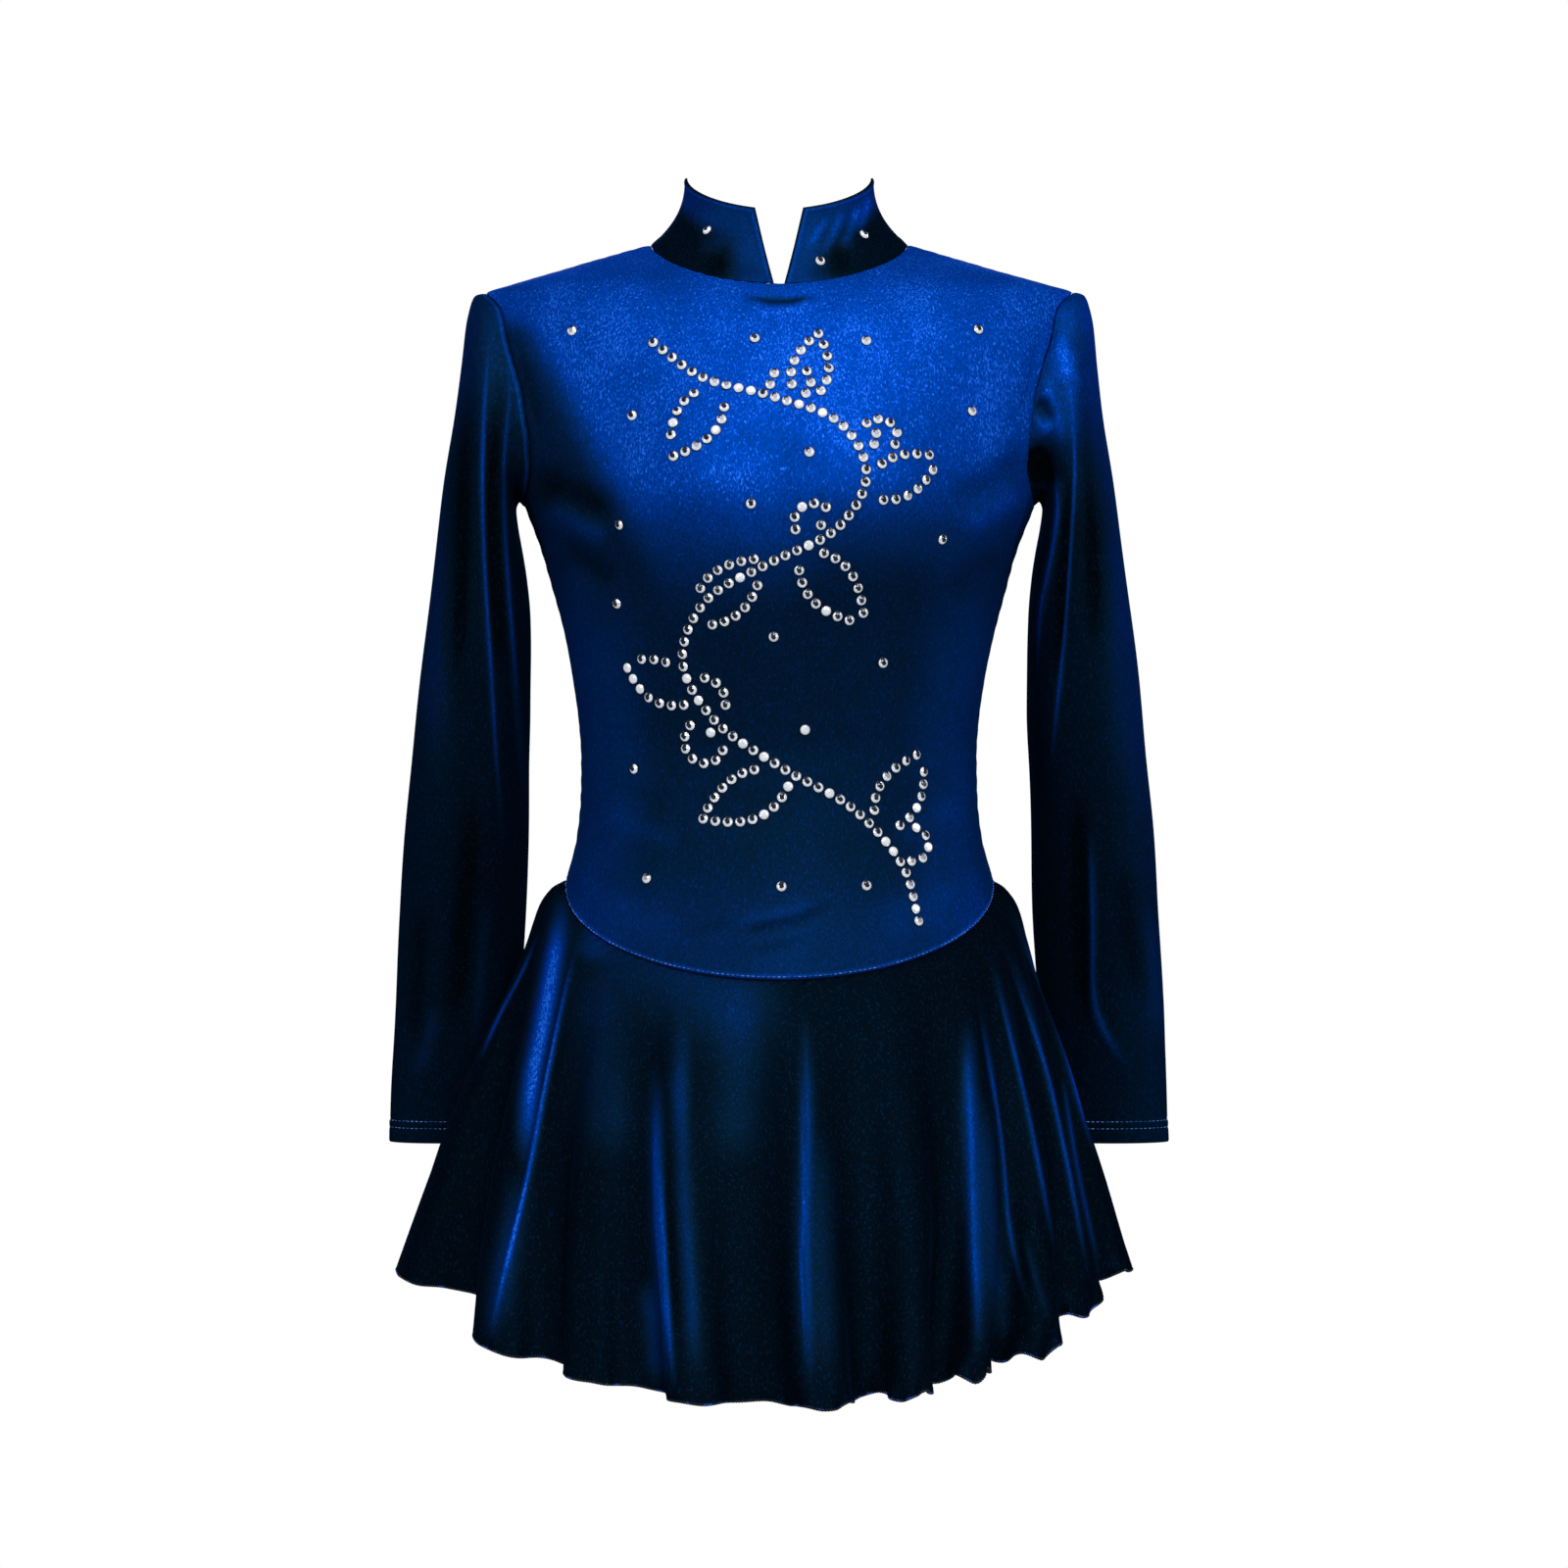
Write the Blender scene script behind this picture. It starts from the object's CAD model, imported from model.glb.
import math
import random

import bpy
import numpy as np
from mathutils import Matrix, Vector
from mathutils.bvhtree import BVHTree


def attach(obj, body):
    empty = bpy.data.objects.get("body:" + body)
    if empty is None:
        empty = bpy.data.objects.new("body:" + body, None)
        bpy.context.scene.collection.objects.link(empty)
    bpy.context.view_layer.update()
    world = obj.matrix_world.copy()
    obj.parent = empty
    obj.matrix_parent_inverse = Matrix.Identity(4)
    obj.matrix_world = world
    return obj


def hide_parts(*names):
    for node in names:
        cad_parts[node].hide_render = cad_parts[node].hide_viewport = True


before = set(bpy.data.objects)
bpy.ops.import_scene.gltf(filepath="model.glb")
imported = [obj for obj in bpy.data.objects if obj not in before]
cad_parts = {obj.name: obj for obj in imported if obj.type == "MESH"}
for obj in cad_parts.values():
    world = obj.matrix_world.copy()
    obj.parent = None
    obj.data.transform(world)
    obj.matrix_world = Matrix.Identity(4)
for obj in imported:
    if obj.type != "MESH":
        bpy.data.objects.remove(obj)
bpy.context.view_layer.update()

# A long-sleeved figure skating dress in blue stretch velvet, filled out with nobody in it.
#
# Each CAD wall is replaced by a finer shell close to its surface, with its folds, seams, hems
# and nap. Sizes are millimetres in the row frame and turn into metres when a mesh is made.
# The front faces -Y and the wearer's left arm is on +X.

MM = 0.001
QUARTER = math.pi / 2
HALF = math.pi
SEED = 7

CLOTH = 1.3
SEAM_GAP = 0.3
SKIRT_SIDE_GAP = 0.04

# Heights that the seams share.
SHOULDER_TIP = -30
ARMPIT = -163
WAIST_SIDE = -395
WAIST_DIP_FRONT = 57
WAIST_DIP_BACK = 45

NECK_HALF_WIDTH = 80
NECK_DROP_FRONT = 32
NECK_DROP_BACK = 24
NECK_CURVE_FRONT = 1.25
NECK_CURVE_BACK = 1.4

RIM_HALF_WIDTH = 58.5
RIM_FRONT = 50
RIM_BACK = 47
RIM_SIDE_HEIGHT = 42
RIM_FRONT_HEIGHT = 15
RIM_BACK_HEIGHT = 20
COLLAR_FLARE = 2.4
NOTCH_FRONT = {"bottom": 3.2, "top": 15}
NOTCH_BACK = {"bottom": 7, "top": 20}

HEM_HALF_WIDTH = 232
HEM_FRONT = 200
HEM_BACK = 186
HEM_SIDE = -637
HEM_DIP_FRONT = 50
HEM_DIP_BACK = 40
HEM_CURVE = 1.3
FLUTE_MID = 0.6
FLUTE_ROUNDNESS = 0.1

BUST = {"out": 8, "sideways": 60, "height": -160, "width": 42, "reach": 46}

# Rows of the bodice's mesh: how late they bend towards the armhole, and the heights by which the
# rows from the armpit and from the shoulder tip run further in.
ROW_FAN = 3
ROW_FROM_ARMPIT = -172
ROW_FROM_TIP = -12

# The eye that the folds are placed from, in front of the dress or as far behind it. The camera
# stands there too.
EYE_DISTANCE = 2306
EYE_HEIGHT = -335.5
EYE_ASIDE = 3


class Curves:
    """Smooth curves through a table's columns, read by its first one, that never pass its values."""

    def __init__(self, names, rows):
        rows = np.array(rows, float)
        if rows[0, 0] > rows[-1, 0]:
            rows = rows[::-1]
        self.keys = rows[:, 0]
        self.columns = dict(zip(names.split(), rows.T))

    def __call__(self, name, at):
        keys, values = self.keys, self.columns[name]
        slopes = np.diff(values) / np.diff(keys)
        product = slopes[:-1] * slopes[1:]
        total = slopes[:-1] + slopes[1:]
        smooth = product > 0
        middle = np.where(smooth, 2 * product / np.where(smooth, total, 1), 0)
        tangents = np.concatenate([slopes[:1], middle, slopes[-1:]])
        at = np.clip(at, keys[0], keys[-1])
        i = np.clip(np.searchsorted(keys, at, side="right") - 1, 0, len(keys) - 2)
        span = keys[i + 1] - keys[i]
        t = (at - keys[i]) / span
        rise = (values[i + 1] - values[i]) * t * t * (3 - 2 * t)
        leave = t * (1 - t) ** 2 * span * tangents[i]
        arrive = t * t * (t - 1) * span * tangents[i + 1]
        return values[i] + rise + leave + arrive


# Level sections of the body of the dress, from the side neck points down to the waist seam.
TORSO = Curves("height half_width front back", [
    (0, 80, 2, 2),
    (-3, 91, 18, 24),
    (-7, 104, 27.5, 32.5),
    (-12, 121, 36.5, 39.5),
    (-16, 134, 43, 44.5),
    (-20, 148, 49, 49.5),
    (-26, 169, 56.3, 57),
    (-30, 182, 60.6, 62),
    (-36, 186, 66.2, 68),
    (-50, 187, 76, 79),
    (-60, 187, 81.3, 85),
    (-80, 184, 88.3, 92),
    (-100, 179.5, 94, 95.5),
    (-120, 174, 99.5, 96.5),
    (-141, 166.5, 103.5, 95.5),
    (-163, 158, 105, 92.5),
    (-189, 148, 103, 90.5),
    (-214, 141, 98.5, 88.5),
    (-242, 133.6, 93, 85.5),
    (-271, 127.8, 88, 82.5),
    (-296, 124, 84.5, 79.5),
    (-317, 122.6, 82.5, 78),
    (-345, 123.2, 84, 80),
    (-369, 125.7, 87.5, 84),
    (-395, 132, 92.5, 89),
    (-440, 137, 102, 95),
    (-455, 138, 105, 97),
])

# How far the armhole seam stands in front of and behind the shoulder line.
ARMHOLE = Curves("height front back", [
    (-30, 0, 0),
    (-31, 8, 8),
    (-36, 20, 20),
    (-43, 28, 29),
    (-60, 36, 39),
    (-80, 42, 46),
    (-100, 46, 50),
    (-120, 47, 50),
    (-141, 42, 45),
    (-152, 33, 35),
    (-160, 18, 19),
    (-162.5, 7, 7.5),
    (-163, 0, 0),
])

# Sleeve rings, each from a point on its outer line to one on its inner line.
SLEEVE = Curves("ring outer_x outer_z inner_x inner_z middle_y half_depth", [
    (0, 182, -30, 158, -163, 2, 47),
    (1, 189, -32, 162, -159.5, 1, 47),
    (2, 194, -46, 164.5, -165.5, 1, 48),
    (3, 198, -76, 163, -177, 2, 48),
    (4, 202.5, -109, 160.5, -191, 4, 48),
    (5, 208.5, -146, 158, -208, 6, 47),
    (6, 214, -185, 156, -232, 9, 45.5),
    (7, 219.5, -225, 155.5, -258, 13, 44),
    (8, 225, -268, 155.5, -290, 18, 42),
    (9, 230.5, -315, 157, -328, 25, 39),
    (10, 236, -362, 158.5, -368, 33, 35),
    (11, 240, -408, 160.5, -410, 42, 31),
    (12, 243.5, -450, 163.5, -452, 50, 27),
    (13, 246, -497, 167, -498, 57, 23),
    (14, 248, -534, 170.5, -534, 61, 19.5),
    (15, 249, -564, 172.5, -564, 63, 17),
])
LAST_RING = 15
SLEEVE_HEAD_RINGS = 3

# How far out the skirt has come at each share of the way down: at its sides, where it springs
# off the hips, and in the middle, where it hangs flatter.
FLARE = Curves("down side middle", [
    (0, 0, 0),
    (0.02, 0.09, 0.03),
    (0.066, 0.17, 0.085),
    (0.17, 0.25, 0.19),
    (0.263, 0.33, 0.29),
    (0.43, 0.506, 0.475),
    (0.684, 0.738, 0.725),
    (1, 1, 1),
])

# The skirt's flutes, crest and trough by turns: degrees at the waist and at the hem, and how far
# each stands out from the plain cone part of the way down and at the hem.
FRONT_FLUTES = np.array([
    (-90, -90, 5, 6),
    (-80, -66, -24, -44),
    (-68, -47, 2, -1),
    (-52, -38, -12, -24),
    (-42, -30.5, 2, 0),
    (-32, -20, -7, -14),
    (-24, -12, 9, 17),
    (-8, -3, -2, -4),
    (4.5, 6.5, 12, 24),
    (17, 13, -4, -8),
    (27, 19, 7, 13),
    (40, 25.5, -12, -25),
    (50, 31, -1, -4),
    (57, 38, -14, -31),
    (63, 45, -2, -8),
    (70, 56, -18, -40),
    (76, 68, -8, -24),
    (83, 79, -22, -44),
    (90, 90, -9, -12),
], float)
BACK_FLUTES = np.array([
    (90, 90, -9, -12),
    (105, 107, -46, -52),
    (122, 124, -20, -6),
    (131, 132, -24, -32),
    (140, 140, 0, 6),
    (149, 149, -12, -25),
    (158, 157, 5, 11),
    (167, 166, -9, -18),
    (176, 175, 8, 17),
    (186, 185, -8, -17),
    (195, 195, 7, 14),
    (204, 205, -11, -24),
    (213, 214, 3, 9),
    (222, 223, -13, -27),
    (231, 232, -7, 6),
    (239, 239, -28, -28),
    (247, 246, -24, -8),
    (258, 258, -46, -46),
    (270, 270, 5, 6),
], float)


# --- The surfaces ---------------------------------------------------------------------------


def mix(start, end, share):
    return start + (end - start) * share


def smooth(value, low, high):
    """0 below low, 1 above high, and a soft step in between."""
    t = np.clip((value - low) / (high - low), 0, 1)
    return t * t * (3 - 2 * t)


def bump(distance, width):
    return np.exp(-((distance / width) ** 2))


def point(x, y, z):
    return np.stack(np.broadcast_arrays(x, y, z), -1)


def unit(vectors):
    return vectors / np.maximum(np.linalg.norm(vectors, axis=-1, keepdims=True), 1e-9)


def dip(turn, front_depth, back_depth, front_power=1, back_power=1):
    facing = np.cos(turn)
    front = front_depth * np.clip(facing, 0, 1) ** front_power
    back = back_depth * np.clip(-facing, 0, 1) ** back_power
    return np.where(facing >= 0, front, back)


def waist_height(turn):
    return WAIST_SIDE - dip(turn, WAIST_DIP_FRONT, WAIST_DIP_BACK)


def neck_height(turn):
    return -dip(turn, NECK_DROP_FRONT, NECK_DROP_BACK, NECK_CURVE_FRONT, NECK_CURVE_BACK)


def torso_point(turn, height):
    """A point of the body, by its turn from centre front towards +X and its height."""
    facing = np.cos(turn)
    depth = np.where(facing >= 0, TORSO("front", height), TORSO("back", height))
    x = TORSO("half_width", height) * np.sin(turn)
    aside = (np.abs(x) - BUST["sideways"]) / BUST["width"]
    above = (height - BUST["height"]) / BUST["reach"]
    bust = BUST["out"] * np.clip(facing, 0, 1) * np.exp(-aside**2 - above**2)
    return point(x, -depth * facing - bust, height)


def torso_outward(turn, height):
    level = np.minimum(height, -0.6)
    across = torso_point(turn + 0.01, level) - torso_point(turn - 0.01, level)
    along = torso_point(turn, level + 0.5) - torso_point(turn, level - 0.5)
    return unit(np.cross(across, along))


def armhole_turn(height, is_front):
    """The turn at which the armhole seam crosses a height."""
    side = "front" if is_front else "back"
    return np.arccos(np.clip(ARMHOLE(side, height) / TORSO(side, height), 0, 1))


def armhole_height(turn):
    return mix(ARMPIT, SHOULDER_TIP, (1 + np.cos(turn)) / 2)


def armhole_around(turn):
    height = armhole_height(turn)
    front = armhole_turn(height, True)
    back = HALF - armhole_turn(height, False)
    return np.where(np.sin(turn) >= 0, front, back), height


def armhole_point(turn):
    return torso_point(*armhole_around(turn))


def bodice_around(facing, across, edge_side, inner_side):
    """The turn and height of a point of a bodice panel: facing is 1 in front and -1 behind, and
    across runs from -1 to 1. A row meets the side seam, the armhole or the shoulder seam at the
    height edge_side, and runs by inner_side further in, which fans out crowded rows."""
    side = mix(inner_side, edge_side, np.abs(across) ** ROW_FAN)
    up = (side - WAIST_SIDE) / -WAIST_SIDE
    on_armhole = (edge_side > ARMPIT) & (edge_side < SHOULDER_TIP)
    edge = np.where(on_armhole, armhole_turn(edge_side, facing > 0), QUARTER)
    plain = across * QUARTER
    around = plain if facing > 0 else HALF - plain
    neck_z = neck_height(around)
    neck_share = NECK_HALF_WIDTH * np.sin(plain) / TORSO("half_width", neck_z)
    neck_turn = np.arcsin(np.clip(neck_share, -1, 1))
    yoke = np.clip((up - 0.72) / 0.28, 0, 1) ** 2
    squeeze = (QUARTER - edge) * np.abs(across) ** 2.2 * np.sign(across)
    turn = mix(plain, neck_turn, yoke) - squeeze
    height = mix(waist_height(around) + SEAM_GAP / 2, neck_z, up)
    return (turn if facing > 0 else HALF - turn), height


def sleeve_oval(turn, ring):
    share = (1 + np.cos(turn)) / 2
    return point(
        mix(SLEEVE("inner_x", ring), SLEEVE("outer_x", ring), share),
        SLEEVE("middle_y", ring) - SLEEVE("half_depth", ring) * np.sin(turn),
        mix(SLEEVE("inner_z", ring), SLEEVE("outer_z", ring), share),
    )


def sleeve_point(turn, ring):
    """A point of the left sleeve: turn 0 is its outer line, a quarter turn its front."""
    ease = np.clip(1 - ring / SLEEVE_HEAD_RINGS, 0, 1) ** 2
    shift = armhole_point(turn) - sleeve_oval(turn, 0 * turn)
    return sleeve_oval(turn, ring) + shift * ease[..., None]


def collar_point(turn, up):
    facing = np.cos(turn)
    neck_z = neck_height(turn)
    aside = np.clip(NECK_HALF_WIDTH * np.sin(turn) / TORSO("half_width", neck_z), -1, 1)
    around = np.where(facing >= 0, np.arcsin(aside), HALF - np.arcsin(aside))
    low = torso_point(around, neck_z)
    rim_y = -np.where(facing >= 0, RIM_FRONT, RIM_BACK) * facing
    rim_low = np.where(facing >= 0, RIM_FRONT_HEIGHT, RIM_BACK_HEIGHT)
    rim_z = mix(rim_low, RIM_SIDE_HEIGHT, (1 - np.abs(facing)) ** 0.9)
    spread = (1 - up) ** COLLAR_FLARE
    return point(
        mix(RIM_HALF_WIDTH * np.sin(turn), low[..., 0], spread),
        mix(rim_y, low[..., 1], spread),
        mix(neck_z + SEAM_GAP, rim_z, up),
    )


def collar_turn(share, up):
    """The turn at a share of the way round half the collar, from its front to its back notch."""
    half_width = mix(RIM_HALF_WIDTH, NECK_HALF_WIDTH, (1 - up) ** COLLAR_FLARE)
    first = np.arcsin(mix(NOTCH_FRONT["bottom"], NOTCH_FRONT["top"], up) / half_width)
    last = HALF - np.arcsin(mix(NOTCH_BACK["bottom"], NOTCH_BACK["top"], up) / half_width)
    return mix(first, last, share)


def skirt_point(flutes, place, down):
    """A skirt panel: place counts along its flute lines and down runs from waist to hem."""
    i = np.clip(np.floor(place).astype(int), 0, len(flutes) - 2)
    share = place - i
    swell = (1 - np.cos(share * HALF)) / 2
    spread = share + FLUTE_ROUNDNESS * np.sin(share * 2 * HALF)
    waist_turn = mix(flutes[i, 0], flutes[i + 1, 0], share)
    hem_turn = mix(flutes[i, 1], flutes[i + 1, 1], spread)
    mid = mix(flutes[i, 2], flutes[i + 1, 2], swell)
    edge = mix(flutes[i, 3], flutes[i + 1, 3], swell)
    turn = np.radians(mix(waist_turn, hem_turn, down))
    facing = np.cos(turn)
    waist = torso_point(turn, waist_height(turn))
    hem_depth = np.where(facing >= 0, HEM_FRONT, HEM_BACK)
    hem_x = HEM_HALF_WIDTH * np.sin(turn)
    hem_y = -hem_depth * facing
    hem_z = HEM_SIDE - dip(turn, HEM_DIP_FRONT, HEM_DIP_BACK, HEM_CURVE, HEM_CURVE)
    swing = unit(point(hem_x * hem_depth, hem_y * HEM_HALF_WIDTH, 0))
    upper = mid * (np.minimum(down, FLUTE_MID) / FLUTE_MID) ** 1.3
    lower = (edge - mid) * np.clip((down - FLUTE_MID) / (1 - FLUTE_MID), 0, 1)
    proud = upper + lower
    flare = mix(FLARE("middle", down), FLARE("side", down), np.sin(turn) ** 2)
    return point(
        mix(waist[..., 0], hem_x, flare) + swing[..., 0] * proud,
        mix(waist[..., 1], hem_y, flare) + swing[..., 1] * proud,
        mix(waist[..., 2] - SEAM_GAP / 2, hem_z, down),
    )


# --- Folds, placed by hand ------------------------------------------------------------------

# How much brighter the nap is for each millimetre that a fold stands up, and how much darker for
# each that it sinks in.
RIDGE_GLOW = 0.16
TROUGH_GLOOM = 0.07

# Folds and streaks fade out over this share of their line at each end, and where the cloth
# turns to the side by more than this share of its normal.
SOFT_ENDS = 0.3
SOFT_SIDES = 0.3

# Each fold is a soft ridge (height above 0) or trough (below 0) on the face of its piece that
# looks to the front (-Y) or the back. Its line's (x, z) points are where the eye in front of
# the dress, or as far behind it, sees them in the plane y = 0.
FOLDS = {
    ("bodice_front", "front"): [
        # height, width, line
        (-1.5, 3.2, [(-15, -32.8), (-6, -33.8), (4, -33.6), (17, -32.6)]),
        (0.9, 4.0, [(-22, -37.5), (0, -39.5), (24, -37)]),
        (-0.9, 4.0, [(-30, -431), (-7, -426), (9, -423), (24, -416), (38, -410)]),
        (0.7, 4.5, [(-34, -424), (-8, -419), (12, -415), (30, -408)]),
        (-0.6, 3.5, [(-24, -442), (4, -438), (20, -432)]),
        (-0.5, 3.5, [(-62, -432), (-42, -426), (-27, -423)]),
        (-2.2, 11, [(-157, -140), (-140, -152), (-118, -162), (-96, -170)]),
        (1.8, 9, [(-150, -158), (-128, -172), (-104, -186)]),
        (-1.6, 9, [(-140, -186), (-120, -200), (-100, -216)]),
        (-2.0, 10, [(160, -128), (142, -142), (120, -154), (100, -160)]),
        (1.4, 8, [(154, -150), (134, -166), (112, -180)]),
        (-1.3, 9, [(142, -190), (122, -206), (104, -224)]),
        (-0.5, 7, [(-118, -330), (-92, -342), (-64, -350)]),
        (0.5, 7, [(-116, -350), (-88, -364), (-58, -372)]),
        (-0.4, 7, [(118, -322), (94, -336), (70, -346)]),
        (0.5, 7, [(118, -346), (92, -362), (66, -372)]),
        (-0.4, 6, [(-124, -384), (-100, -400), (-78, -410)]),
        (-0.4, 6, [(124, -380), (102, -396), (82, -404)]),
        (1.0, 6, [(-172, -60), (-166, -90), (-158, -118)]),
        (-1.0, 5, [(-165, -62), (-158, -92), (-149, -120)]),
        (-0.8, 5, [(164, -56), (158, -86), (152, -110)]),
    ],
    ("bodice_back", "back"): [
        (-1.5, 9, [(-152, -132), (-128, -150), (-98, -162)]),
        (1.2, 8, [(-148, -154), (-122, -172), (-94, -184)]),
        (-1.4, 9, [(152, -140), (130, -156), (104, -166)]),
        (1.1, 8, [(146, -162), (122, -178), (98, -188)]),
        (-0.7, 9, [(-112, -326), (-70, -338), (-20, -342), (24, -338)]),
        (0.7, 9, [(-108, -344), (-60, -358), (-10, -362), (36, -356)]),
        (-0.6, 8, [(112, -340), (84, -354), (48, -366), (8, -372)]),
        (0.5, 7, [(108, -360), (76, -376), (40, -386)]),
        (-0.5, 7, [(-104, -372), (-66, -384), (-28, -390)]),
        (-0.4, 6, [(-30, -412), (0, -418), (30, -414)]),
        (-1.0, 9, [(-48, -60), (-44, -100), (-46, -140)]),
        (-0.9, 9, [(52, -66), (47, -104), (50, -146)]),
        (-1.0, 4, [(-22, -33), (0, -36), (24, -33)]),
    ],
    ("sleeve_right", "front"): [
        (1.1, 2.4, [(-176, -50), (-181, -66), (-183, -90), (-184.5, -119), (-185, -150),
                    (-184, -185), (-181.5, -235), (-178, -290), (-174, -345)]),
        (-1.8, 5.0, [(-173, -64), (-176, -100), (-178, -150), (-176, -210), (-171, -280)]),
        (1.0, 2.4, [(-169, -72), (-168, -92), (-170, -120), (-172.5, -145), (-171.5, -175),
                    (-169, -210), (-165, -260), (-160.5, -320), (-158, -372)]),
        (-2.0, 6.5, [(-193, -70), (-196, -115), (-199, -165), (-201, -225), (-201, -290)]),
        (0.5, 9, [(-204, -150), (-210, -210), (-213, -280), (-214, -350)]),
        (-1.2, 7, [(-190, -330), (-194, -390), (-199, -450), (-203, -500)]),
        (0.6, 4, [(-181, -400), (-185, -450), (-190, -505)]),
        (-1.0, 6, [(-222, -400), (-226, -450), (-229, -510)]),
        (0.8, 5, [(-212, -470), (-219, -500), (-228, -522)]),
    ],
    ("sleeve_right", "back"): [
        (-1.8, 6, [(-190, -60), (-196, -110), (-198, -170), (-197, -230)]),
        (1.6, 4, [(-182, -80), (-186, -130), (-188, -190), (-186, -250), (-182, -310)]),
        (-1.4, 5, [(-176, -110), (-176, -160), (-172, -220), (-169, -280)]),
        (1.4, 4, [(-206, -260), (-212, -320), (-216, -380)]),
        (-0.8, 8, [(-176, -290), (-196, -312), (-216, -322)]),
        (0.9, 6, [(-174, -312), (-194, -334), (-218, -346)]),
        (-0.6, 7, [(-178, -350), (-198, -368), (-220, -376)]),
        (-1.1, 6, [(-196, -420), (-202, -470), (-206, -520)]),
    ],
    ("sleeve_left", "front"): [
        (2.2, 4.2, [(161, -82), (168, -92), (173.5, -110), (176, -130)]),
        (-2.2, 4.5, [(160, -96), (165, -103), (169, -112)]),
        (1.8, 5.5, [(157, -108), (163, -112), (169, -120)]),
        (-4.2, 7.5, [(157, -124), (161, -132), (164, -142), (164, -152)]),
        (1.3, 2.6, [(160, -121), (168, -130), (172.5, -144), (174, -158), (173, -172),
                    (171, -190), (167, -208), (163, -232), (160, -262)]),
        (-1.6, 5.0, [(178, -112), (179.5, -146), (179, -180), (176, -225), (172, -280)]),
        (1.1, 2.4, [(180, -80), (182, -104), (184, -126), (183.5, -152), (182, -182),
                    (179.5, -220), (176, -262), (171.5, -300), (168, -335)]),
        (-2.0, 6.5, [(190, -64), (193, -110), (196, -160), (198, -215), (198, -270)]),
        (1.2, 8, [(170, -52), (176, -70), (180, -90)]),
        (-1.2, 6, [(182, -50), (189, -66), (192, -84)]),
        (0.5, 9, [(205, -150), (211, -210), (214, -280), (215, -345)]),
        (1.6, 3.0, [(193, -352), (194.5, -384), (195, -420), (195, -465), (198, -482),
                    (206, -496), (216, -509), (224, -522)]),
        (-1.5, 6, [(186, -330), (187, -390), (188, -450), (193, -500)]),
        (-1.2, 7, [(214, -380), (219, -430), (226, -480)]),
        (0.8, 5, [(228, -400), (233, -450), (237, -505)]),
    ],
    ("sleeve_left", "back"): [
        (-1.8, 6, [(190, -64), (195, -118), (197, -176), (196, -236)]),
        (1.6, 4, [(181, -86), (184, -140), (186, -200), (184, -262), (180, -318)]),
        (-1.4, 5, [(174, -116), (174, -170), (170, -232), (168, -288)]),
        (1.4, 4, [(205, -250), (211, -312), (215, -372)]),
        (-0.8, 8, [(174, -298), (194, -318), (214, -328)]),
        (0.9, 6, [(172, -322), (192, -340), (216, -352)]),
        (-0.6, 7, [(176, -358), (196, -374), (218, -382)]),
        (-1.1, 6, [(194, -416), (200, -466), (205, -514)]),
    ],
    ("collar_left", "front"): [
        (-0.9, 6, [(12, -14), (30, -12), (48, -4)]),
        (0.6, 5, [(30, 8), (42, 2), (50, -2)]),
    ],
    ("collar_left", "back"): [
        (-0.8, 6, [(14, -10), (34, -6), (52, 2)]),
    ],
    ("collar_right", "front"): [
        (-0.9, 6, [(-10, -12), (-32, -14), (-50, -6)]),
        (0.6, 5, [(-26, 6), (-40, 0), (-52, -4)]),
    ],
    ("collar_right", "back"): [
        (-0.8, 6, [(-16, -11), (-34, -6), (-54, 3)]),
    ],
    ("skirt_front", "front"): [
        (1.5, 2.4, [(-122, -424), (-134, -470), (-145, -520), (-156, -576), (-169, -633),
                    (-183, -690)]),
        (-1.6, 6.0, [(-132, -440), (-147, -500), (-162, -570), (-178, -640)]),
        (1.8, 3.0, [(-76, -505), (-75.5, -584), (-73, -640), (-67, -700), (-65, -722)]),
        (-1.2, 7.0, [(-66, -520), (-65, -600), (-60, -690)]),
        (1.0, 5.0, [(-61, -470), (-62, -560), (-58, -640), (-50, -715)]),
        (1.1, 3.2, [(15, -465), (18, -548), (17, -628), (20, -724)]),
        (1.3, 3.2, [(117, -474), (119, -540), (121, -628), (125, -698)]),
        (0.8, 2.2, [(120, -450), (130, -495), (137, -551), (144, -617), (157, -668)]),
        (0.8, 2.2, [(127, -432), (141, -473), (150, -517), (161, -573), (173, -632)]),
        (0.9, 2.2, [(131, -420), (152, -462), (165, -508), (177, -562), (194, -648)]),
        (0.8, 2.2, [(176, -512), (185, -573), (200, -642)]),
        (1.0, 2.2, [(138, -400), (159, -446), (172, -484), (188, -540), (199, -572)]),
        (0.7, 2.4, [(150, -612), (160, -645), (170, -674)]),
    ],
    ("skirt_back", "back"): [
        (1.8, 2.6, [(150, -424), (158, -490), (170, -560), (186, -640)]),
        (1.4, 3.0, [(112, -430), (120, -500), (126, -580), (136, -676)]),
        (1.2, 4.0, [(66, -470), (70, -560), (78, -690)]),
        (1.6, 3.0, [(20, -455), (22, -540), (18, -620), (24, -706)]),
        (1.0, 4.0, [(-18, -480), (-20, -570), (-28, -704)]),
        (1.6, 2.6, [(-60, -440), (-68, -520), (-72, -600), (-84, -690)]),
        (1.2, 3.4, [(-104, -430), (-118, -510), (-128, -600), (-146, -672)]),
        (1.8, 2.6, [(-140, -415), (-160, -480), (-176, -560), (-196, -644)]),
    ],
}

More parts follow.
